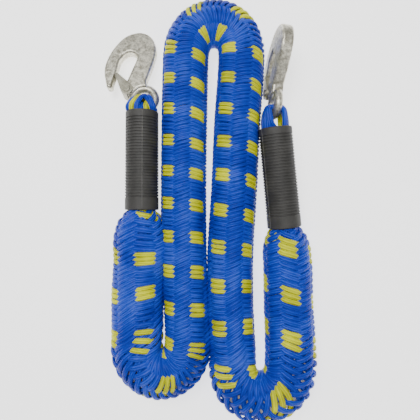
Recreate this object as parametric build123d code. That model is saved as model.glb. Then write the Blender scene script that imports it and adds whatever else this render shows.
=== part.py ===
from build123d import *
from math import pi, radians, tan
import os

# Elastic tow rope: a braided rope with two ribbed grips and two snap hooks, laid in four limbs.
# Frame, in millimetres: the rope lies on the plane Z = 0, +Z is up, +Y runs along the limbs
# towards the hooks, and the origin is the middle of the plan view.

os.makedirs("parts", exist_ok=True)

# ---- rope ----
ROPE_DIAMETER = 44.0        # sheath, slack
SHEATH_WALL = 3.0
STRAND_DIAMETER = 8.0       # elastic core strands, six round one
STRAND_RING = 8.1           # radius of the circle that the six lie on
NECK_LENGTH = 16.0          # where the sheath narrows into a grip
NECK_WALL = 1.4
CORE_BORE = 12.2            # radius inside the neck and the ferrule

# Corners of the rope's line between the two grips, each X, Y, Z.
ROUTE = [
    (-65.6, 0.0, 22.0), (-65.7, -36.0, 22.0), (-69.9, -84.0, 22.0), (-69.5, -122.0, 22.0),
    (-70.9, -147.0, 22.0), (-55.9, -162.2, 22.0), (-34.7, -162.2, 22.0), (-19.7, -147.0, 22.0),
    (-19.9, -118.0, 22.0), (-22.9, -68.0, 22.0), (-23.9, 10.0, 22.0), (-23.0, 82.0, 22.0),
    (-22.1, 136.0, 22.0), (-20.6, 169.6, 22.0), (-4.5, 185.9, 22.0), (18.5, 185.9, 22.0),
    (34.6, 169.6, 22.0), (34.0, 137.0, 22.0), (29.6, 86.0, 22.0), (27.3, 22.0, 22.0),
    (22.4, -44.0, 22.0), (23.3, -104.0, 22.0), (25.5, -140.0, 22.0), (25.9, -168.9, 22.0),
    (42.2, -185.5, 22.0), (65.6, -185.5, 22.0), (81.9, -168.9, 22.0), (82.5, -134.0, 22.0),
    (80.7, -86.0, 22.0), (80.8, -54.2, 22.0), (76.8, -17.0, 24.6),
]
ARC_SHARE = 0.45            # of the shorter run, taken by the arc at a corner

# ---- grips ----
GRIP_LENGTH = 98.0
GRIP_BORE = 13.9            # radius
GRIP_MOUTH_RADIUS = 16.3
GRIP_TAIL_RADIUS = 16.8
RIB_COUNT = 28
RIB_DEPTH = 0.8
MOUTH_BAND = 7.0            # plain band at the hook's end
TAIL_BAND = 11.0            # plain band at the rope's end
FERRULE_LENGTH = 34.0
FERRULE_RADIUS = 13.6
FERRULE_DIVIDER = 2.0       # wall between the ferrule's two sockets
SOCKET_GAP = 0.5            # left before that wall
NECK_TAIL = 28.0            # how far the sheath reaches into the grip

# ---- hook, in its own plane: the eye's centre at the origin and the load line along +Y ----
THICKNESS = 11.5
EYE_RADIUS = 11.3           # to the middle of the eye's round section
EYE_SECTION = 4.1           # radius of that section
RIM_FILLET = 2.5
PIVOT = (-14.2, 12.2)       # latch rivet
LUG_RADIUS = 4.1
RIVET_RADIUS = 2.0
RIVET_HEAD = 3.7
HEAD_HEIGHT = 1.3
SPRING_FLOOR = 1.3          # height of the spring pocket's floor over the middle plane
SPRING_RADIUS = 3.0
SPRING_WIRE = 0.45          # radius
SPRING_PITCH = 1.02
SPRING_HEIGHT = 2.5
SPRING_LEG = 9.0
LATCH_TIP = (-20.9, 29.4)
LATCH_TIP_RADIUS = 1.7
LATCH_RADIUS = 6.2
LATCH_SHEET = 1.3
LATCH_GAP = 0.25            # between a cheek and the hook's face

# ---- eye loop of the rope ----
LOOP_RADIUS = 4.4
LOOP_CLEARANCE = 0.5
LEG_OFFSET = 5.0            # of each leg from the grip's axis, in the ferrule
LEG_BEND = 12.0             # radius where a leg leaves the ferrule

# ---- the two ends: first two route points, roll about the grip, eye distance, offset, tilt, swing ----
ENDS = {
    "left": dict(leads=(ROUTE[0], ROUTE[1]), roll=0.0, reach=13.6, offset=1.6, tilt=11.6, swing=13.5),
    "right": dict(leads=(ROUTE[-1], ROUTE[-2]), roll=-82.0, reach=23.6, offset=0.0, tilt=11.2, swing=-0.8),
}


def direction(start, end):
    """Unit vector from one point to another."""
    return (Vector(end) - Vector(start)).normalized()


def corner_radii(points):
    """Arc radius at each inner corner: a share of the shorter run over the half turn's tangent."""
    radii = []
    for before, corner, after in zip(points, points[1:], points[2:]):
        arriving = Vector(corner) - Vector(before)
        leaving = Vector(after) - Vector(corner)
        half_turn = radians(arriving.get_angle(leaving) / 2)
        radii.append(ARC_SHARE * min(arriving.length, leaving.length) / tan(half_turn))
    return radii


def tube_along(path, radius, bore=0.0, sideways=0.0, angle=0.0):
    """Round tube or rod swept along a path, its centre moved off the path by a fixed amount."""
    plane = Plane(origin=path @ 0, z_dir=path % 0)
    section = plane * Rot(0, 0, angle) * Pos(sideways, 0) * Circle(radius)
    if bore:
        section -= plane * Circle(bore)
    return sweep(section, path=path)


def smooth_path(points):
    """Straight runs joined by tangent arcs."""
    return FilletPolyline(*points, radius=corner_radii(points))


def turned(profile):
    """Body turned about the local Y axis from a half outline of (radius, y) points."""
    return revolve(make_face(Polyline(*profile, close=True)), axis=Axis.Y)


def grip_frame(end):
    """Frame at the middle of a grip's mouth, +Y towards the hook and +Z the hook's normal."""
    tail, next_point = end["leads"]
    along = direction(next_point, tail)
    across = along.cross(Vector(0, 0, 1)).normalized()
    plane = Plane(origin=Vector(tail) + along * GRIP_LENGTH, x_dir=across, z_dir=across.cross(along))
    return plane.location * Rot(0, end["roll"], 0)


def hook_frame(end):
    """Frame of a hook: the eye's centre, tilted and swung in its loop."""
    seat = Pos(end["offset"], end["reach"] - EYE_RADIUS, 0)
    tilted = grip_frame(end) * seat * Rot(-end["tilt"], 0, 0)
    return tilted * Pos(0, EYE_RADIUS, 0) * Rot(0, 0, end["swing"])


# ---- pieces of the rope ----
def neck(start, along):
    """Hollow neck of the sheath, from inside a grip out to the rope's full size."""
    half = ROPE_DIAMETER / 2
    slim = CORE_BORE + NECK_WALL
    lip = 0.1                   # keeps the neck's end face within the tube's
    outer = [(slim, -NECK_TAIL), (slim, 1.0), (half - 3.6, 5.0), (half - 0.9, 10.5),
             (half - lip, NECK_LENGTH)]
    inner = [(half - SHEATH_WALL + lip, NECK_LENGTH), (half - SHEATH_WALL - 1.0, 11.5),
             (CORE_BORE + 2.6, 5.0), (CORE_BORE, 0.0), (CORE_BORE, -NECK_TAIL)]
    body = turned(outer + inner)
    return Plane(origin=start, x_dir=along.cross(Vector(0, 0, 1)), z_dir=along).location * Rot(90, 0, 0) * body


def rope_sheath():
    """Braided sheath: one hollow tube along the route with a neck at each grip."""
    first = direction(ROUTE[0], ROUTE[1])
    last = direction(ROUTE[-1], ROUTE[-2])
    points = list(ROUTE)
    points[0] = tuple(Vector(ROUTE[0]) + first * NECK_LENGTH)
    points[-1] = tuple(Vector(ROUTE[-1]) + last * NECK_LENGTH)
    path = smooth_path(points)
    half = ROPE_DIAMETER / 2
    tube = tube_along(path, half, half - SHEATH_WALL)
    area = pi * (half**2 - (half - SHEATH_WALL) ** 2)
    print("rope tube: length %.0f mm, volume / (section x length) = %.4f"
          % (path.length, tube.volume / (area * path.length)))
    return tube + neck(ROUTE[0], first) + neck(ROUTE[-1], last)


def core_path():
    """Line of the elastic core, from one ferrule to the other."""
    first = direction(ROUTE[1], ROUTE[0])
    last = direction(ROUTE[-2], ROUTE[-1])
    reach = NECK_TAIL + FERRULE_LENGTH / 2 - FERRULE_DIVIDER / 2 - SOCKET_GAP
    points = list(ROUTE)
    points[0] = tuple(Vector(ROUTE[0]) + first * reach)
    points[-1] = tuple(Vector(ROUTE[-1]) + last * reach)
    return smooth_path(points)


# ---- pieces of a grip, in the grip's frame ----
def grip_sleeve():
    """Ribbed plastic sleeve."""
    pitch = (GRIP_LENGTH - MOUTH_BAND - TAIL_BAND) / RIB_COUNT

    def radius_at(y):
        return GRIP_MOUTH_RADIUS - (GRIP_TAIL_RADIUS - GRIP_MOUTH_RADIUS) * y / GRIP_LENGTH

    outer = [(GRIP_MOUTH_RADIUS - 0.8, 0.0), (GRIP_MOUTH_RADIUS, -0.8)]
    for rib in range(RIB_COUNT):
        top = -MOUTH_BAND - rib * pitch
        for share, depth in ((0.0, 0.0), (0.12, 1.0), (0.38, 1.0), (0.5, 0.0)):
            y = top - share * pitch
            outer.append((radius_at(y) - depth * RIB_DEPTH, y))
    outer += [(GRIP_TAIL_RADIUS, 0.8 - GRIP_LENGTH), (GRIP_TAIL_RADIUS - 0.8, -GRIP_LENGTH)]
    return turned(outer + [(GRIP_BORE, -GRIP_LENGTH), (GRIP_BORE, -1.0), (GRIP_BORE + 1.0, 0.0)])


def crimp_ferrule():
    """Metal ferrule in the grip: one socket for the eye loop, one for the core."""
    rear = NECK_TAIL - GRIP_LENGTH
    front = rear + FERRULE_LENGTH
    middle = (rear + front) / 2
    legs_radius = LEG_OFFSET + LOOP_RADIUS + 0.2
    core_end = middle - FERRULE_DIVIDER / 2
    legs_end = middle + FERRULE_DIVIDER / 2
    blank = turned([(0, rear), (FERRULE_RADIUS, rear), (FERRULE_RADIUS, front), (0, front)])
    core_socket = turned([(0, rear), (CORE_BORE, rear), (CORE_BORE, core_end), (0, core_end)])
    legs_socket = turned([(0, front), (legs_radius, front), (legs_radius, legs_end), (0, legs_end)])
    return blank - core_socket - legs_socket


def eye_loop(end):
    """Loop of the rope through the hook's eye, both legs held by the ferrule."""
    bend = EYE_SECTION + LOOP_CLEARANCE + LOOP_RADIUS
    seat = end["reach"] - EYE_RADIUS
    foot = NECK_TAIL - GRIP_LENGTH + (FERRULE_LENGTH + FERRULE_DIVIDER) / 2 + SOCKET_GAP
    x = end["offset"]
    half = [(0, foot, LEG_OFFSET), (0, foot + 20, LEG_OFFSET), (x, seat - 14, bend), (x, seat + bend, bend)]
    other = [(px, py, -pz) for px, py, pz in reversed(half)]
    turn = bend - 0.05
    path = FilletPolyline(*(half + other), radius=[LEG_BEND, LEG_BEND, turn, turn, LEG_BEND, LEG_BEND])
    return tube_along(path, LOOP_RADIUS)


# ---- pieces of a hook, in the hook's frame ----
def tangent_chain(first, points):
    """A straight edge followed by arcs, each tangent to the edge before it."""
    chain = [first]
    for point in points:
        chain.append(TangentArc(chain[-1] @ 1, point, tangent=chain[-1] % 1))
    return chain


def hook_outline():
    """Flat outline of bow, shank and neck, closed inside the eye's ring."""
    outer = tangent_chain(Line((-33.8, 21.2), (-33.6, 31.0)),
                          [(-29.4, 46.4), (-9.5, 67.9), (9.2, 72.2), (22.6, 61.0), (21.8, 44.5), (14.8, 31.0)])
    outer.append(Line(outer[-1] @ 1, (outer[-1] @ 1) + (outer[-1] % 1) * 16.5))
    inner = tangent_chain(Line((-27.9, 21.4), (-22.6, 31.0)),
                          [(-17.6, 41.6), (-7.8, 51.6), (1.0, 49.6), (1.5, 42.4)])
    inner.append(Line(inner[-1] @ 1, (inner[-1] @ 1) + (inner[-1] % 1) * 25.5))
    nose = ThreePointArc((-27.9, 21.4), (-31.0, 18.1), (-33.8, 21.2))
    lug_side = Line(inner[-1] @ 1, (-14.6, 8.6))
    into_ring = Line((-14.6, 8.6), (-9.5, 5.5))
    crown = ThreePointArc((-9.5, 5.5), (-2.5, 10.6), (6.0, 9.6))
    shoulder = Line((6.0, 9.6), outer[-1] @ 1)
    return make_face(Wire([*outer, shoulder, crown, into_ring, lug_side, *inner, nose]))


def hook_body():
    """Forged hook: bow and shank, round eye, latch lug with its spring pocket."""
    body = extrude(hook_outline(), amount=THICKNESS / 2, both=True)
    rims = [edge for edge in body.edges() if abs(abs(edge.center().Z) - THICKNESS / 2) < 0.01]
    body = fillet(rims, RIM_FILLET)
    eye = Solid.make_torus(EYE_RADIUS, EYE_SECTION)
    lug = Pos(*PIVOT) * Cylinder(LUG_RADIUS, THICKNESS - 0.6)
    pocket = Pos(PIVOT[0], PIVOT[1], SPRING_FLOOR + THICKNESS) * Cylinder(LUG_RADIUS + 0.2, 2 * THICKNESS)
    return body + eye + lug - pocket - Pos(*PIVOT) * Cylinder(RIVET_RADIUS + 0.1, 4 * THICKNESS)


def latch_outline():
    """Flat outline of a latch cheek: a disc round the rivet running out to the tip."""
    arcs = (Pos(*PIVOT) * Circle(LATCH_RADIUS)).edges() + (Pos(*LATCH_TIP) * Circle(LATCH_TIP_RADIUS)).edges()
    return make_hull(arcs)


def hook_latch():
    """Sheet latch: two cheeks joined by a web along the outer edge."""
    inner = THICKNESS / 2 + LATCH_GAP
    outline = latch_outline()
    blank = extrude(outline, amount=inner + LATCH_SHEET, both=True)
    along = direction(PIVOT + (0,), LATCH_TIP + (0,))
    inward = along.cross(Vector(0, 0, 1))
    hollow = extrude(outline, amount=inner, both=True)
    hollow = hollow.moved(Location(inward * LATCH_SHEET))
    for shift in (inward * 3.0, inward * 1.5 - along * 6.0):
        hollow += hollow.moved(Location(shift))
    return blank - hollow - Pos(*PIVOT) * Cylinder(RIVET_RADIUS + 0.15, 4 * THICKNESS)


def latch_rivet():
    """Rivet through both cheeks and the lug."""
    face = THICKNESS / 2 + LATCH_GAP + LATCH_SHEET + 0.05
    rivet = Cylinder(RIVET_RADIUS, 2 * face + HEAD_HEIGHT)
    for side in (1, -1):
        head = Pos(0, 0, side * (face + HEAD_HEIGHT / 2)) * Cylinder(RIVET_HEAD, HEAD_HEIGHT)
        rim = head.edges().filter_by(GeomType.CIRCLE).sort_by(Axis.Z)[-1 if side > 0 else 0]
        rivet += fillet(rim, 0.8)
    return Pos(*PIVOT) * rivet


def latch_spring():
    """Torsion spring round the rivet, one leg out along the latch."""
    helix = Helix(pitch=SPRING_PITCH, height=SPRING_HEIGHT, radius=SPRING_RADIUS, lefthand=True)
    coil = sweep(Plane(origin=helix @ 0, z_dir=helix % 0) * Circle(SPRING_WIRE), path=helix, is_frenet=True)
    heading = Vector((helix % 1).X, (helix % 1).Y, 0)
    leg = extrude(Plane(origin=helix @ 1, z_dir=heading) * Circle(SPRING_WIRE), amount=SPRING_LEG)
    knee = Pos(*(helix @ 1)) * Sphere(SPRING_WIRE)
    aim = Vector(1, 0, 0).get_signed_angle(direction(PIVOT + (0,), LATCH_TIP + (0,)))
    turn = Vector(1, 0, 0).get_signed_angle(heading)
    low = SPRING_FLOOR + SPRING_WIRE + 0.1
    return Pos(PIVOT[0], PIVOT[1], low) * Rot(0, 0, aim - turn) * (coil + leg + knee)


def build_nodes():
    """Every node by name, in the object's frame."""
    nodes = {"rope_sheath": rope_sheath()}
    path = core_path()
    nodes["elastic_strand_1"] = tube_along(path, STRAND_DIAMETER / 2)
    for number in range(6):
        nodes["elastic_strand_%d" % (number + 2)] = tube_along(
            path, STRAND_DIAMETER / 2, sideways=STRAND_RING, angle=60 * number + 30)
    sleeve, ferrule = grip_sleeve(), crimp_ferrule()
    hook_pieces = {"hook_body": hook_body(), "hook_latch": hook_latch(),
                   "latch_rivet": latch_rivet(), "latch_spring": latch_spring()}
    for side, end in ENDS.items():
        grip = grip_frame(end)
        nodes["grip_sleeve_" + side] = grip * sleeve
        nodes["crimp_ferrule_" + side] = grip * ferrule
        nodes["eye_loop_" + side] = grip * eye_loop(end)
        for name, shape in hook_pieces.items():
            nodes[name + "_" + side] = hook_frame(end) * shape
    return nodes


print("corner radii:", " ".join("%.0f" % radius for radius in corner_radii(ROUTE)))
NODES = build_nodes()
for node_name, shape in NODES.items():
    export_step(shape, "parts/%s.step" % node_name)
box = Compound([solid for shape in NODES.values() for solid in shape.solids()]).bounding_box()
print("box", [round(v, 2) for v in (*box.min, *box.max)])
for side, end in ENDS.items():
    low = NODES["hook_body_" + side].bounding_box().min.Z
    print(side, "hook's lowest point %.2f mm" % low)
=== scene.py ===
from math import cos, pi, radians, sin, tau
import bpy
import numpy as np
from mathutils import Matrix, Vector


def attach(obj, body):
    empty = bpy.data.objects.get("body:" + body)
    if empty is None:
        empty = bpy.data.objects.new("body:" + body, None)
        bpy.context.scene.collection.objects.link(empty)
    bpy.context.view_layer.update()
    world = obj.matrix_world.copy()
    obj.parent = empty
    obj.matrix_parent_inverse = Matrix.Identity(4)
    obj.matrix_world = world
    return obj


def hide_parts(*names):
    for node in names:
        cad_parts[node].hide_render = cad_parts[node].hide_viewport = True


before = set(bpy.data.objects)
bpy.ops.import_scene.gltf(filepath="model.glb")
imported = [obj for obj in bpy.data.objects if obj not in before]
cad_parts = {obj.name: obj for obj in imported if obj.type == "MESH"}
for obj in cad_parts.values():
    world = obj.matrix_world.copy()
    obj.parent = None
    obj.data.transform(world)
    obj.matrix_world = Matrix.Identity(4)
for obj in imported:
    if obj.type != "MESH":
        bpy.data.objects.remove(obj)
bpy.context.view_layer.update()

# Elastic tow rope folded in four limbs, seen from straight above. Metres throughout.
MM = 0.001
SEED = 11


# ---------------------------------------------------------------- camera
def add_camera():
    """Camera straight above the rope, +Y up in the picture."""
    data = bpy.data.cameras.new("camera")
    data.sensor_width = 36.0
    data.lens = 34.3
    camera = bpy.data.objects.new("camera", data)
    camera.location = (0.0027, 0.0, 0.423)
    bpy.context.collection.objects.link(camera)
    bpy.context.scene.camera = camera


add_camera()

# ---------------------------------------------------------------- the rope's line
# Control points of the rope's line between the grips, in millimetres: X, Y, Z.
ROUTE = [
    (-65.6, 0.0, 22.0), (-65.7, -36.0, 22.0), (-69.9, -84.0, 22.0), (-69.5, -122.0, 22.0),
    (-70.9, -147.0, 22.0), (-55.9, -162.2, 22.0), (-34.7, -162.2, 22.0), (-19.7, -147.0, 22.0),
    (-19.9, -118.0, 22.0), (-22.9, -68.0, 22.0), (-23.9, 10.0, 22.0), (-23.0, 82.0, 22.0),
    (-22.1, 136.0, 22.0), (-20.6, 169.6, 22.0), (-4.5, 185.9, 22.0), (18.5, 185.9, 22.0),
    (34.6, 169.6, 22.0), (34.0, 137.0, 22.0), (29.6, 86.0, 22.0), (27.3, 22.0, 22.0),
    (22.4, -44.0, 22.0), (23.3, -104.0, 22.0), (25.5, -140.0, 22.0), (25.9, -168.9, 22.0),
    (42.2, -185.5, 22.0), (65.6, -185.5, 22.0), (81.9, -168.9, 22.0), (82.5, -134.0, 22.0),
    (80.7, -86.0, 22.0), (80.8, -54.2, 22.0), (76.8, -17.0, 24.6),
]


def spline_points(points, resolution=24):
    """Points along one smooth NURBS line with these control points, in the points' unit."""
    curve = bpy.data.curves.new("line", "CURVE")
    curve.dimensions = "3D"
    curve.resolution_u = resolution
    spline = curve.splines.new("NURBS")
    spline.points.add(len(points) - 1)
    for control, place in zip(spline.points, points):
        control.co = (*place, 1.0)
    spline.order_u = 3
    spline.use_endpoint_u = True
    holder = bpy.data.objects.new("line", curve)
    bpy.context.collection.objects.link(holder)
    mesh = bpy.data.meshes.new_from_object(holder)
    found = np.array([tuple(vertex.co) for vertex in mesh.vertices])
    bpy.data.meshes.remove(mesh)
    bpy.data.objects.remove(holder)
    bpy.data.curves.remove(curve)
    steps = np.linalg.norm(np.diff(found, axis=0), axis=1)
    return found[np.concatenate([[True], steps > 1e-4])]


class Line:
    """A line by its length: places, directions and side and up axes, past its ends as well."""

    def __init__(self, points, side_of=(0.0, 0.0, 1.0)):
        self.points = points
        steps = np.linalg.norm(np.diff(points, axis=0), axis=1)
        self.marks = np.concatenate([[0.0], np.cumsum(steps)])
        self.length = float(self.marks[-1])
        self.reference = np.array(side_of)
        self.first = (points[0] - points[1]) / steps[0]
        self.last = (points[-1] - points[-2]) / steps[-1]

    def at(self, s):
        """Places at these lengths."""
        s = np.asarray(s, float)
        columns = [np.interp(s, self.marks, column) for column in self.points.T]
        place = np.stack(columns, axis=-1)
        place += np.maximum(-s, 0.0)[..., None] * self.first
        place += np.maximum(s - self.length, 0.0)[..., None] * self.last
        return place

    def frames(self, s, reach):
        """Places, directions, side axes and up axes, the direction taken over a short reach."""
        along = self.at(s + reach) - self.at(s - reach)
        along /= np.linalg.norm(along, axis=-1, keepdims=True)
        side = np.cross(along, self.reference)
        side /= np.linalg.norm(side, axis=-1, keepdims=True)
        return self.at(s), along, side, np.cross(side, along)


ROPE = Line(spline_points(ROUTE))

# ---------------------------------------------------------------- the braid
# Eight strands turn each way. Three neighbours of one family are yellow. All lengths in millimetres.
HALF_HEIGHT = 22.0
LAYER = 1.2                     # of a strand above or below the middle of the braid
STRAND_THICK = 1.45             # half thickness
SAMPLES_PER_TURN = 44
TUBE_SIDES = 8
FIRST_TURN = 0.094              # of the braid's turning, where a yellow mark is in the middle
DRAWN_IN = (19.0, 14.0)         # half widths of the rope between which the strands get thinner
LOOSE_LIFT = 4.2                # of a fully loose strand
FLOOR_GAP = 0.35                # least gap between a strand and the floor
FLOOR_FADE = 1.0                # height over which a strand flattens towards that gap

# Where the marks of one column come along the rope: (length, whole turns).
TURNS = [
    (-14.0, -1.0), (6.0, -0.64), (41.0, 0.0), (74.0, 1.0), (113.0, 2.0), (175.0, 3.0), (217.0, 4.25),
    (252.0, 5.25), (288.0, 6.25), (322.0, 7.25), (353.5, 8.25), (384.5, 9.25), (413.5, 10.25),
    (443.5, 11.25), (473.0, 12.25), (500.0, 13.25), (533.0, 14.25), (566.0, 15.25), (601.0, 16.25),
    (631.0, 17.25), (660.5, 18.25), (691.5, 19.25), (723.5, 20.25), (757.5, 21.25), (792.0, 22.25),
    (828.0, 23.25), (867.0, 24.25), (911.0, 25.25), (978.0, 26.25), (1037.0, 27.25), (1077.0, 28.25),
    (1125.0, 29.25), (1160.0, 29.95),
]
# Where a column of marks is round the rope: (length, degrees from the top).
COLUMNS = [
    (0, 76), (40, 75), (74, 65), (113, 62), (145, 80), (178, 104), (205, 117), (240, 125), (290, 133),
    (560, 132), (900, 128), (940, 108), (982, 78), (1040, 88), (1077, 88), (1124, 83),
]
# Tilt of the rows of marks, higher on one side than on the other: (length, millimetres).
TILT = [
    (0, 6), (40, 7.0), (74, 11.5), (113, 14.0), (145, 7.0), (176, -5.0), (210, 3.0), (300, 5.0),
    (480, 0.0), (620, 0.0), (760, 3.0), (870, 8.0), (930, 8.0), (990, 0.0), (1150, 0.0),
]
# Bow of the rows, ahead in the middle: (length, millimetres).
BOW = [
    (0, 0), (200, 0), (260, 2.6), (520, 2.0), (570, -1.0), (620, -2.6), (880, -2.6), (960, 0), (1150, 0),
]
# Half width of the rope: (length, millimetres). Inside the grips the braid is drawn in.
HALF_WIDTH = [
    (-14, 13.5), (1, 13.5), (5, 18.0), (10, 22.0), (15, 25.5), (29, 28.3), (38, 28.3), (48, 26.8),
    (130, 26.4), (165, 25.6), (200, 24.0), (240, 23.0), (540, 23.2), (620, 23.4), (880, 23.4),
    (940, 24.2), (1000, 24.8), (1060, 24.6), (1100, 24.6), (1122, 24.0), (1132, 21.0),
    (1138, 17.5), (1143, 13.5), (1160, 13.5),
]
# How loose the strands on the outside of a fold are: (length, share).
LOOSE = [
    (0, 0.0), (150, 0.0), (172, 0.7), (200, 0.2), (230, 0.0), (900, 0.0), (925, 0.5), (955, 0.9),
    (1005, 0.9), (1030, 0.5), (1060, 0.15), (1150, 0.0),
]
GRID_ENDS = (-14.0, 1160.5)     # of the lengths that the tables are worked out for


def table(rows, window, grid):
    """A smoothed table of values along the rope."""
    rows = np.array(rows, float)
    values = np.interp(grid, rows[:, 0], rows[:, 1])
    if window:
        reach = int(3 * window)
        weights = np.exp(-0.5 * (np.arange(-reach, reach + 1) / window) ** 2)
        padded = np.concatenate([2 * values[0] - values[reach:0:-1], values,
                                 2 * values[-1] - values[-2:-reach - 2:-1]])
        values = np.convolve(padded, weights / weights.sum(), mode="valid")
    return values


GRID = np.arange(*GRID_ENDS, 1.0)
TURN_AT = table(TURNS, 9, GRID)
LEAD_AT = 1.0 / np.gradient(TURN_AT, GRID)
COLUMN_AT = np.radians(table(COLUMNS, 12, GRID))
TILT_AT = table(TILT, 12, GRID)
BOW_AT = table(BOW, 12, GRID)
WIDTH_AT = table(HALF_WIDTH, 1.5, GRID)
LOOSE_AT = table(LOOSE, 8, GRID)


def wander(values, scale, seed, octaves=3):
    """Slow, repeatable wander of about plus or minus one."""
    rng = np.random.default_rng(SEED * 1000 + seed)
    total = np.zeros_like(values)
    for octave in range(octaves):
        total += np.sin(values * tau / (scale * 0.61**octave) + rng.uniform(0, tau)) * 0.6**octave
    return total / 1.6


def skin_height(half_width):
    """Half height of the rope where it is that wide."""
    return np.minimum(half_width, HALF_HEIGHT)


def mesh_from(name, vertices, faces, coordinates):
    """Smooth mesh object from arrays in millimetres, with one texture coordinate per corner."""
    mesh = bpy.data.meshes.new(name)
    mesh.from_pydata((vertices * MM).tolist(), [], faces.tolist())
    layer = mesh.uv_layers.new(name="UVMap")
    layer.data.foreach_set("uv", coordinates.reshape(-1).astype(np.float32))
    mesh.polygons.foreach_set("use_smooth", np.ones(len(faces), bool))
    mesh.update()
    made = bpy.data.objects.new(name, mesh)
    bpy.context.collection.objects.link(made)
    return made


def swept(centres, across, outward, half_width, half_thick, sides):
    """Vertices, faces and coordinates of a flattened round section carried along a line."""
    count = len(centres)
    turn = np.arange(sides) * tau / sides
    wide = np.sign(np.cos(turn)) * np.abs(np.cos(turn)) ** 0.9
    thick = np.sin(turn)
    ring = (centres[:, None, :]
            + across[:, None, :] * (half_width[:, None] * wide)[..., None]
            + outward[:, None, :] * (half_thick[:, None] * thick)[..., None])
    vertices = ring.reshape(-1, 3)
    row = np.arange(count - 1)[:, None] * sides
    column = np.arange(sides)[None, :]
    following = (column + 1) % sides
    low_left, low_right = row + column, row + following
    faces = np.stack([low_left, low_right, low_right + sides, low_left + sides], axis=-1).reshape(-1, 4)
    length = np.concatenate([[0.0], np.cumsum(np.linalg.norm(np.diff(centres, axis=0), axis=1))])
    low, high = length[:-1, None], length[1:, None]
    left = np.broadcast_to(column / sides, (count - 1, sides))
    right = left + 1.0 / sides
    low = np.broadcast_to(low, left.shape)
    high = np.broadcast_to(high, left.shape)
    coordinates = np.stack([np.stack([low, left], -1), np.stack([low, right], -1),
                            np.stack([high, right], -1), np.stack([high, left], -1)], axis=2)
    return vertices, faces, coordinates.reshape(-1, 2)


def merged(name, sweeps):
    """One mesh object of several swept strands."""
    vertices, faces, coordinates = zip(*sweeps)
    starts = np.cumsum([0] + [len(points) for points in vertices[:-1]])
    faces = [quads + start for quads, start in zip(faces, starts)]
    return mesh_from(name, np.concatenate(vertices), np.concatenate(faces), np.concatenate(coordinates))


def braid_strand(family, number):
    """Line, axes and section of one strand of the braid. Family is -1 with the yellow ones, or +1."""
    turns = TURN_AT[-1] - TURN_AT[0]
    samples = int(turns * SAMPLES_PER_TURN)
    turning = np.linspace(TURN_AT[0] + 0.001, TURN_AT[-1] - 0.001, samples)
    s = np.interp(turning, TURN_AT, GRID)
    column = np.interp(s, GRID, COLUMN_AT)
    angle = family * (turning + FIRST_TURN) * tau + number * tau / 8 + column - tau / 32
    level = np.tanh(1.5 * np.cos(4 * (angle - column)) * -family) / np.tanh(1.5)
    seed = number + (20 if family < 0 else 0)
    s = s + np.interp(s, GRID, TILT_AT) * np.sin(angle) + np.interp(s, GRID, BOW_AT) * np.cos(angle)
    s = s + 0.28 * wander(s, 23.0, seed)
    half_width = np.interp(s, GRID, WIDTH_AT)
    drawn_in = np.clip((DRAWN_IN[0] - half_width) / (DRAWN_IN[0] - DRAWN_IN[1]), 0.0, 1.0)
    layer = LAYER * (1 - 0.35 * drawn_in)
    thick = STRAND_THICK * (1 - 0.40 * drawn_in)
    lead = np.interp(s, GRID, LEAD_AT)
    slope = np.sin(np.arctan2(tau * half_width, lead))
    wide = np.clip(0.51 * lead / 8 * slope, 1.7, 3.0) * (1 + 0.06 * wander(s, 41.0, seed + 50))
    outer = np.maximum(np.sin(angle) - 0.25, 0.0)
    loose = np.interp(s, GRID, LOOSE_AT) * outer * (level > -0.2) * (0.5 + 0.5 * level)
    depth = half_width - thick - layer
    height = skin_height(half_width) - thick - layer
    lift = level * layer + 0.18 * wander(s, 17.0, seed + 80) + LOOSE_LIFT * loose
    place, _, side, up = ROPE.frames(s, 3.0)
    outward = side * (np.sin(angle) / depth)[:, None] + up * (np.cos(angle) / height)[:, None]
    outward /= np.linalg.norm(outward, axis=1, keepdims=True)
    centres = (place + side * (np.sin(angle) * (depth + lift))[:, None]
               + up * (np.cos(angle) * (height + lift))[:, None])
    lowest = thick + FLOOR_GAP
    above = centres[:, 2] - lowest - FLOOR_FADE
    flattened = lowest + FLOOR_FADE * np.exp(np.minimum(above, 0.0) / FLOOR_FADE)
    centres[:, 2] = np.where(above < 0.0, flattened, centres[:, 2])
    run = np.gradient(centres, axis=0)
    run /= np.linalg.norm(run, axis=1, keepdims=True)
    across = np.cross(run, outward)
    across /= np.linalg.norm(across, axis=1, keepdims=True)
    return centres, across, np.cross(across, run), wide, thick


def braid(name, family, numbers):
    """One mesh of several strands."""
    sweeps = []
    for number in numbers:
        vertices, faces, coordinates = swept(*braid_strand(family, number), TUBE_SIDES)
        coordinates[:, 0] += 37.0 * number
        sweeps.append((vertices, faces, coordinates))
    return merged(name, sweeps)


blue_over = braid("rope_braid_blue_a", 1, range(8))
blue_under = braid("rope_braid_blue_b", -1, range(3, 8))
yellow = braid("rope_braid_yellow", -1, range(3))


# ---------------------------------------------------------------- the elastic core
CORE_RADIUS = (3.4, 5.75)       # least and greatest radius of a rubber strand, in millimetres
CORE_ROOM = 4.0                 # taken up by the braid
CORE_TWIST = 160.0              # length of rope in which the core turns one radian


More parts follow.
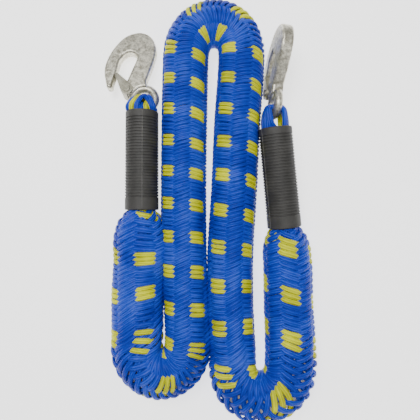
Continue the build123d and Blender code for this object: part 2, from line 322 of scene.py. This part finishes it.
def core():
    """Seven rubber strands, drawn together in the grips and swollen in the slack rope."""
    s = np.arange(-12.0, ROPE.length + 12.0, 3.0)
    half_width = np.interp(s, GRID, WIDTH_AT)
    radius = np.clip((skin_height(half_width) - CORE_ROOM) / 3.0, *CORE_RADIUS)
    place, along, side, up = ROPE.frames(s, 4.0)
    spread = np.maximum(half_width / HALF_HEIGHT, 1.0)[:, None]
    sweeps = []
    for number in range(7):
        ring = 0.0 if number == 6 else 2.0
        angle = number * pi / 3 + s / CORE_TWIST
        sideways, upwards = side * np.sin(angle)[:, None], up * np.cos(angle)[:, None]
        outward = sideways + upwards
        centres = place + (sideways * spread + upwards) * (ring * radius)[:, None]
        sweeps.append(swept(centres, np.cross(along, outward), outward, radius * 1.04, radius * 1.04, 14))
    return merged("elastic_core", sweeps)


elastic = core()


# ---------------------------------------------------------------- the loops through the hook eyes
# A grip's turn about its own line, and where the eye's lowest wire is beyond the mouth, in millimetres.
ENDS = {
    "left": {"leads": (ROUTE[0], ROUTE[1]), "roll": 0.0, "seat": 2.3, "offset": 1.2},
    "right": {"leads": (ROUTE[-1], ROUTE[-2]), "roll": -82.0, "seat": 12.3, "offset": 0.0},
}
GRIP_LENGTH = 98.0
GRIP_RADIUS = 16.75             # at the mould line
LOOP_RADIUS = 11.4              # of the ring of strands in the grip's mouth
# Strands of a loop: where each leaves the grip in degrees from the middle, where it crosses the eye,
# how far it stands off the eye's wire sideways and beyond it, and whether it is yellow.
LOOP_STRANDS = {
    "left": [
        (-84, -4.6, 10.6, 11.6, False), (-46, -2.6, 11.0, 12.4, True), (-16, 2.2, 11.2, 13.0, False),
        (24, 5.6, 8.6, 7.8, True), (50, 6.4, 8.6, 8.8, True), (82, 5.4, 10.4, 12.6, False),
        (4, -4.0, 7.6, 8.8, False), (62, 1.6, 9.8, 12.8, False),
    ],
    "right": [
        (80, 5.6, 8.2, 6.6, False), (52, 3.2, 9.0, 8.0, False), (24, 0.6, 9.2, 8.4, False),
        (-4, -1.8, 8.4, 7.6, False), (-30, -3.4, 8.0, 7.0, True), (-56, -4.6, 7.8, 6.6, True),
        (66, 4.6, 7.0, 6.0, False), (38, 2.0, 7.0, 6.4, False),
    ],
}
# Half width and half thickness of a loop's strands.
LOOP_SECTION = {"left": (2.6, 1.45), "right": (2.8, 1.9)}


def grip_axes(end):
    """Middle of a grip's mouth and its axes: across, towards the hook, and off the hook's flat side."""
    tail, following = (np.array(point) for point in end["leads"])
    along = (tail - following) / np.linalg.norm(tail - following)
    across = np.cross(along, (0.0, 0.0, 1.0))
    across /= np.linalg.norm(across)
    up = np.cross(across, along)
    turn = radians(end["roll"])
    return (tail + along * GRIP_LENGTH,
            np.array([across * cos(turn) - up * sin(turn), along, across * sin(turn) + up * cos(turn)]))


def loop_strand(end, leaving, crossing, reach, height, number):
    """Line and axes of one strand out of the grip, through the eye and back into the grip."""
    mouth, axes = grip_axes(end)
    seat = end["seat"]
    over = end["offset"] + crossing
    rng = np.random.default_rng(SEED + number)
    half = []
    for turn in (radians(leaving), radians(leaving * 0.85 + rng.uniform(-8, 8))):
        x, z = LOOP_RADIUS * sin(turn), LOOP_RADIUS * cos(turn)
        half.append([
            (x, -16.0, z), (x, -3.0, z),
            (1.12 * x, 0.25 * seat + 1.5, max(1.05 * z, 0.9 * reach)),
            (1.04 * x, seat + 0.30 * height, 0.15 * z + 0.9 * reach),
            (0.45 * x + 0.55 * over, seat + 0.80 * height, 0.88 * reach),
            (over, seat + 1.02 * height, 0.60 * reach), (over, seat + 1.06 * height, 0.2 * reach)])
    back = [(x, y, -z) for x, y, z in reversed(half[1])]
    local = spline_points(half[0] + back, 10)
    outward = np.stack([0 * local[:, 0], np.maximum(local[:, 1] - seat, 0.0), local[:, 2]], axis=1)
    outward /= np.linalg.norm(outward, axis=1, keepdims=True)
    run = np.gradient(local, axis=0)
    run /= np.linalg.norm(run, axis=1, keepdims=True)
    across = np.cross(run, outward)
    across /= np.linalg.norm(across, axis=1, keepdims=True)
    return mouth + local @ axes, across @ axes, np.cross(across, run) @ axes


def eye_strands(side, colour, is_yellow):
    """One mesh of a loop's strands of one colour."""
    sweeps = []
    for number, (leaving, crossing, reach, height, bright) in enumerate(LOOP_STRANDS[side]):
        if bright != is_yellow:
            continue
        axes = loop_strand(ENDS[side], leaving, crossing, reach, height, number)
        sweeps.append(swept(*axes, *np.outer(LOOP_SECTION[side], np.ones(len(axes[0]))), 12))
    made = merged("eye_strands_%s_%s" % (colour, side), sweeps)
    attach(made, "rope")
    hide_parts("eye_loop_" + side)
    return made


loops_blue = [eye_strands(side, "blue", False) for side in ENDS]
loops_yellow = [eye_strands(side, "yellow", True) for side in ENDS]


def mould_line(side, degrees):
    """Fine raised line along a grip, where its mould parted."""
    mouth, axes = grip_axes(ENDS[side])
    tail = np.array(ENDS[side]["leads"][0])
    along = axes[1]
    flat = np.cross(along, (0.0, 0.0, 1.0))
    flat /= np.linalg.norm(flat)
    outward = flat * sin(radians(degrees)) + np.cross(flat, along) * cos(radians(degrees))
    share = np.linspace(0.012, 0.988, 60)
    centres = tail + (mouth - tail) * share[:, None] + outward * (GRIP_RADIUS - 0.5 * share)[:, None]
    size = 0.28 + 0.05 * wander(share * 100.0, 9.0, 300)
    rows = np.ones((len(share), 1))
    sweep = swept(centres, np.cross(along, outward) * rows, outward * rows, size, size, 8)
    made = mesh_from("grip_mould_line_" + side, *sweep)
    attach(made, "rope")
    return made


mould_lines = [mould_line("left", 10.0), mould_line("right", -62.0)]


def main_bodies():
    for piece in (blue_over, blue_under, yellow, elastic):
        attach(piece, "rope")
    for piece in (blue_over, blue_under, yellow):
        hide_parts("rope_sheath")
    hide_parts(*["elastic_strand_%d" % number for number in range(1, 8)])


main_bodies()


# ---------------------------------------------------------------- materials
def material(name):
    """New node material, its tree and its shader."""
    made = bpy.data.materials.new(name)
    made.use_nodes = True
    tree = made.node_tree
    return made, tree, tree.nodes["Principled BSDF"]


def node(tree, kind, **settings):
    """Add a node with these settings; a number or a colour goes to the input of that name."""
    added = tree.nodes.new(kind)
    for key, value in settings.items():
        if hasattr(added, key):
            setattr(added, key, value)
        else:
            added.inputs[key.replace("_", " ")].default_value = value
    return added


def braid_material(name, dark, middle, light):
    """Flat polypropylene strands: fine yarns along each strand, soft sheen, slight change of colour, and
    a painted highlight on the yarn crests with painted shade in the grooves between them.
    """
    made, tree, shader = material(name)
    links = tree.links
    where = node(tree, "ShaderNodeUVMap", uv_map="UVMap")
    split = node(tree, "ShaderNodeSeparateXYZ")
    links.new(where.outputs["UV"], split.inputs[0])
    slant = node(tree, "ShaderNodeMath", operation="MULTIPLY")
    links.new(split.outputs["X"], slant.inputs[0])
    slant.inputs[1].default_value = 0.16
    lanes = node(tree, "ShaderNodeMath", operation="MULTIPLY_ADD")
    links.new(split.outputs["Y"], lanes.inputs[0])
    lanes.inputs[1].default_value = tau * 8
    links.new(slant.outputs[0], lanes.inputs[2])
    # Sine lanes of the yarns across each strand: they raise the relief, and in the colour they paint a
    # highlight on each crest and paint shade in each groove.
    yarns = node(tree, "ShaderNodeMath", operation="SINE")
    links.new(lanes.outputs[0], yarns.inputs[0])
    stretch = node(tree, "ShaderNodeMapping")
    stretch.inputs["Scale"].default_value = (0.22, 46.0, 1.0)
    links.new(where.outputs["UV"], stretch.inputs["Vector"])
    fibres = node(tree, "ShaderNodeTexNoise", Scale=1.0, Detail=4.0, Roughness=0.65)
    links.new(stretch.outputs[0], fibres.inputs["Vector"])
    body = node(tree, "ShaderNodeTexCoord")
    patch = node(tree, "ShaderNodeTexNoise", Scale=38.0, Detail=3.0)
    links.new(body.outputs["Object"], patch.inputs["Vector"])
    mixed = node(tree, "ShaderNodeMath", operation="MULTIPLY_ADD")
    links.new(fibres.outputs["Fac"], mixed.inputs[0])
    mixed.inputs[1].default_value = 0.7
    links.new(patch.outputs["Fac"], mixed.inputs[2])
    # Colour ramp input: random fibre and patch tone, plus the yarn lanes as painted highlight on the
    # crests and painted shade in the grooves.
    shade = node(tree, "ShaderNodeMath", operation="MULTIPLY_ADD")
    links.new(yarns.outputs[0], shade.inputs[0])
    shade.inputs[1].default_value = 0.10
    links.new(mixed.outputs[0], shade.inputs[2])
    ramp = node(tree, "ShaderNodeValToRGB")
    ramp.color_ramp.elements[0].position = 0.45
    ramp.color_ramp.elements[0].color = (*dark, 1.0)
    ramp.color_ramp.elements[1].position = 1.0
    ramp.color_ramp.elements[1].color = (*light, 1.0)
    centre = ramp.color_ramp.elements.new(0.82)
    centre.color = (*middle, 1.0)
    links.new(shade.outputs[0], ramp.inputs[0])
    links.new(ramp.outputs[0], shader.inputs["Base Color"])
    rough = node(tree, "ShaderNodeMapRange", To_Min=0.34, To_Max=0.58)
    links.new(fibres.outputs["Fac"], rough.inputs["Value"])
    links.new(rough.outputs[0], shader.inputs["Roughness"])
    relief = node(tree, "ShaderNodeMath", operation="MULTIPLY_ADD")
    links.new(fibres.outputs["Fac"], relief.inputs[0])
    relief.inputs[1].default_value = 0.9
    links.new(yarns.outputs[0], relief.inputs[2])
    bump = node(tree, "ShaderNodeBump", Strength=0.55, Distance=0.0004)
    links.new(relief.outputs[0], bump.inputs["Height"])
    links.new(bump.outputs[0], shader.inputs["Normal"])
    shader.inputs["Specular IOR Level"].default_value = 0.25
    return made


def grained(name, low, high, metallic, rough, scale, strength, detail_scale, distance=0.0002):
    """Mottled solid: two sizes of noise in its colour, its roughness and its relief."""
    made, tree, shader = material(name)
    links = tree.links
    body = node(tree, "ShaderNodeTexCoord")
    large = node(tree, "ShaderNodeTexNoise", Scale=scale, Detail=5.0, Roughness=0.6)
    fine = node(tree, "ShaderNodeTexNoise", Scale=detail_scale, Detail=3.0, Roughness=0.6)
    links.new(body.outputs["Object"], large.inputs["Vector"])
    links.new(body.outputs["Object"], fine.inputs["Vector"])
    both = node(tree, "ShaderNodeMath", operation="MULTIPLY_ADD")
    links.new(fine.outputs["Fac"], both.inputs[0])
    both.inputs[1].default_value = 0.6
    links.new(large.outputs["Fac"], both.inputs[2])
    ramp = node(tree, "ShaderNodeValToRGB")
    ramp.color_ramp.elements[0].position = 0.62
    ramp.color_ramp.elements[0].color = (*low, 1.0)
    ramp.color_ramp.elements[1].position = 0.98
    ramp.color_ramp.elements[1].color = (*high, 1.0)
    links.new(both.outputs[0], ramp.inputs[0])
    links.new(ramp.outputs[0], shader.inputs["Base Color"])
    spread = node(tree, "ShaderNodeMapRange", To_Min=rough - 0.09, To_Max=rough + 0.09)
    links.new(both.outputs[0], spread.inputs["Value"])
    links.new(spread.outputs[0], shader.inputs["Roughness"])
    bump = node(tree, "ShaderNodeBump", Strength=strength, Distance=distance)
    links.new(both.outputs[0], bump.inputs["Height"])
    links.new(bump.outputs[0], shader.inputs["Normal"])
    shader.inputs["Metallic"].default_value = metallic
    return made


# Braid colours, dark to light: random tone of the yarns, together with the painted highlight and painted
# shade of the yarn lanes.
BLUE = braid_material("braid_blue", (0.003, 0.018, 0.30), (0.006, 0.040, 0.52), (0.040, 0.11, 0.72))
YELLOW = braid_material("braid_yellow", (0.32, 0.33, 0.0), (0.68, 0.70, 0.0), (0.92, 0.95, 0.0))
RUBBER = grained("core_rubber", (0.78, 0.68, 0.52), (0.95, 0.88, 0.74), 0.0, 0.7, 60.0, 0.3, 700.0)
PLASTIC = grained(
    "grip_plastic", (0.030, 0.029, 0.027), (0.055, 0.053, 0.049), 0.0, 0.55, 90.0, 0.35, 1500.0)
FORGED = grained(
    "zinc_forging", (0.32, 0.30, 0.23), (0.88, 0.85, 0.72), 0.85, 0.34, 260.0, 0.9, 1100.0, 0.0003)
SEAM = grained(
    "grip_seam", (0.10, 0.098, 0.09), (0.17, 0.165, 0.155), 0.0, 0.5, 90.0, 0.2, 1500.0)
SHEET = grained(
    "zinc_sheet", (0.26, 0.25, 0.19), (0.50, 0.48, 0.39), 0.85, 0.38, 160.0, 0.4, 1300.0)
FERRULE = grained(
    "ferrule_steel", (0.40, 0.40, 0.40), (0.60, 0.60, 0.60), 1.0, 0.35, 120.0, 0.3, 900.0)
WIRE = grained(
    "spring_wire", (0.30, 0.30, 0.30), (0.48, 0.48, 0.47), 1.0, 0.28, 200.0, 0.2, 1500.0)


def give(objects, made):
    """Give one material to objects or to CAD nodes by name."""
    for item in objects:
        target = bpy.data.objects[item] if isinstance(item, str) else item
        if target.data.materials:
            for place in range(len(target.data.materials)):
                target.data.materials[place] = made
        else:
            target.data.materials.append(made)


give([blue_over, blue_under, *loops_blue], BLUE)
give([yellow, *loops_yellow], YELLOW)
give(mould_lines, SEAM)
give([elastic], RUBBER)
for end in ("left", "right"):
    give(["grip_sleeve_" + end], PLASTIC)
    give(["crimp_ferrule_" + end], FERRULE)
    give(["hook_body_" + end], FORGED)
    give(["hook_latch_" + end, "latch_rivet_" + end], SHEET)
    give(["latch_spring_" + end], WIRE)


# ---------------------------------------------------------------- studio
# Area lights: name, place, size and power.
LIGHTS = [("key", (-0.18, 0.30, 0.95), 0.45, 8.0), ("fill", (0.55, -0.25, 1.0), 0.7, 2.0)]
FLOOR_HALF = 3.0
FLOOR_DROP = 0.0003             # under the lowest point of the rope


def add_studio():
    """Pale floor, soft overhead lights and a pale surround."""
    mesh = bpy.data.meshes.new("floor")
    corners = [(FLOOR_HALF * x, FLOOR_HALF * y, 0) for x, y in ((-1, -1), (1, -1), (1, 1), (-1, 1))]
    mesh.from_pydata(corners, [], [(0, 1, 2, 3)])
    floor = bpy.data.objects.new("floor", mesh)
    floor.location = (0, 0, -FLOOR_DROP)
    bpy.context.collection.objects.link(floor)
    paint, _, shader = material("floor_paint")
    shader.inputs["Base Color"].default_value = (0.95, 0.95, 0.95, 1.0)
    shader.inputs["Roughness"].default_value = 0.8
    shader.inputs["Emission Color"].default_value = (1.0, 1.0, 1.0, 1.0)
    shader.inputs["Emission Strength"].default_value = 1.7
    floor.data.materials.append(paint)
    for name, place, size, power in LIGHTS:
        data = bpy.data.lights.new(name, "AREA")
        data.size = size
        data.energy = power
        light = bpy.data.objects.new(name, data)
        light.location = place
        light.rotation_euler = (-Vector(place)).to_track_quat("-Z", "Y").to_euler()
        bpy.context.collection.objects.link(light)
    world = bpy.data.worlds.new("studio")
    bpy.context.scene.world = world
    world.use_nodes = True
    world.node_tree.nodes["Background"].inputs["Color"].default_value = (1.0, 1.0, 1.0, 1.0)
    world.node_tree.nodes["Background"].inputs["Strength"].default_value = 0.34


add_studio()
